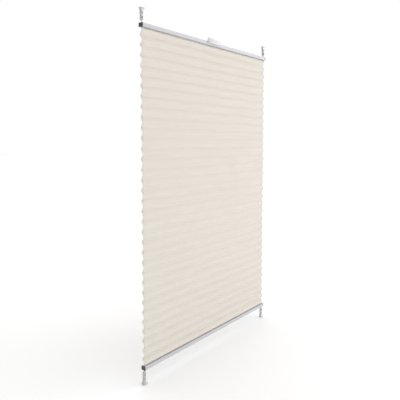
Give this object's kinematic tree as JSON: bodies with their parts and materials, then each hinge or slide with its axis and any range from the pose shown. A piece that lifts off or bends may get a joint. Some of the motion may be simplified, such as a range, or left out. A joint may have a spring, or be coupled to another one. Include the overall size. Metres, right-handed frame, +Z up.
{
  "type": "pleated blind",
  "caption": "Free-hanging pleated window blind: zigzag fabric between two slim aluminium rails that slide on tensioned cords held by screw-on corner shoes.",
  "frame": {"origin": "under the middle of the rails, at the height of the bottom shoes' lower ends, with Y = 0 in the middle of the fabric's depth", "axes": "X along the rails, -Y into the room, +Z up"},
  "size_m": [0.807, 0.0294, 1.3],
  "materials": {
    "rail_aluminium": "satin anodised",
    "cap_plastic": "moulded, dark",
    "guide_plastic": "moulded, dark",
    "strip_plastic": "extruded, grey",
    "pleat_fabric": "cream crinkled polyester",
    "cord_braid": "fine braid",
    "shoe_plastic": "grey, slightly milky",
    "stop_metal": "plain ferrule",
    "handle_plastic": "pale grey, smooth"
  },
  "bodies": {
    "root": {"pleated_fabric": "pleat_fabric", "tension_cord_left": "cord_braid", "top_shoe_left": "shoe_plastic", "top_cord_stop_left": "stop_metal", "bottom_shoe_left": "shoe_plastic", "bottom_cord_stop_left": "stop_metal", "tension_cord_right": "cord_braid", "top_shoe_right": "shoe_plastic", "top_cord_stop_right": "stop_metal", "bottom_shoe_right": "shoe_plastic", "bottom_cord_stop_right": "stop_metal"},
    "top_rail_set": {"top_rail": "rail_aluminium", "top_retaining_strip": "strip_plastic", "top_end_cap_left": "cap_plastic", "top_cord_guide_left": "guide_plastic", "top_end_cap_right": "cap_plastic", "top_cord_guide_right": "guide_plastic", "handle": "handle_plastic"},
    "bottom_rail_set": {"bottom_rail": "rail_aluminium", "bottom_retaining_strip": "strip_plastic", "bottom_end_cap_left": "cap_plastic", "bottom_cord_guide_left": "guide_plastic", "bottom_end_cap_right": "cap_plastic", "bottom_cord_guide_right": "guide_plastic"}
  },
  "joints": [
    {"name": "top_rail_slide", "type": "slide", "parent": "root", "child": "top_rail_set", "axis": [0, 0, -1], "range_m": [0, 0.57], "deforming": ["pleated_fabric", "tension_cord_left", "tension_cord_right"]},
    {"name": "bottom_rail_slide", "type": "slide", "parent": "root", "child": "bottom_rail_set", "axis": [0, 0, 1], "range_m": [0, 0.57], "deforming": ["pleated_fabric", "tension_cord_left", "tension_cord_right"]}
  ]
}
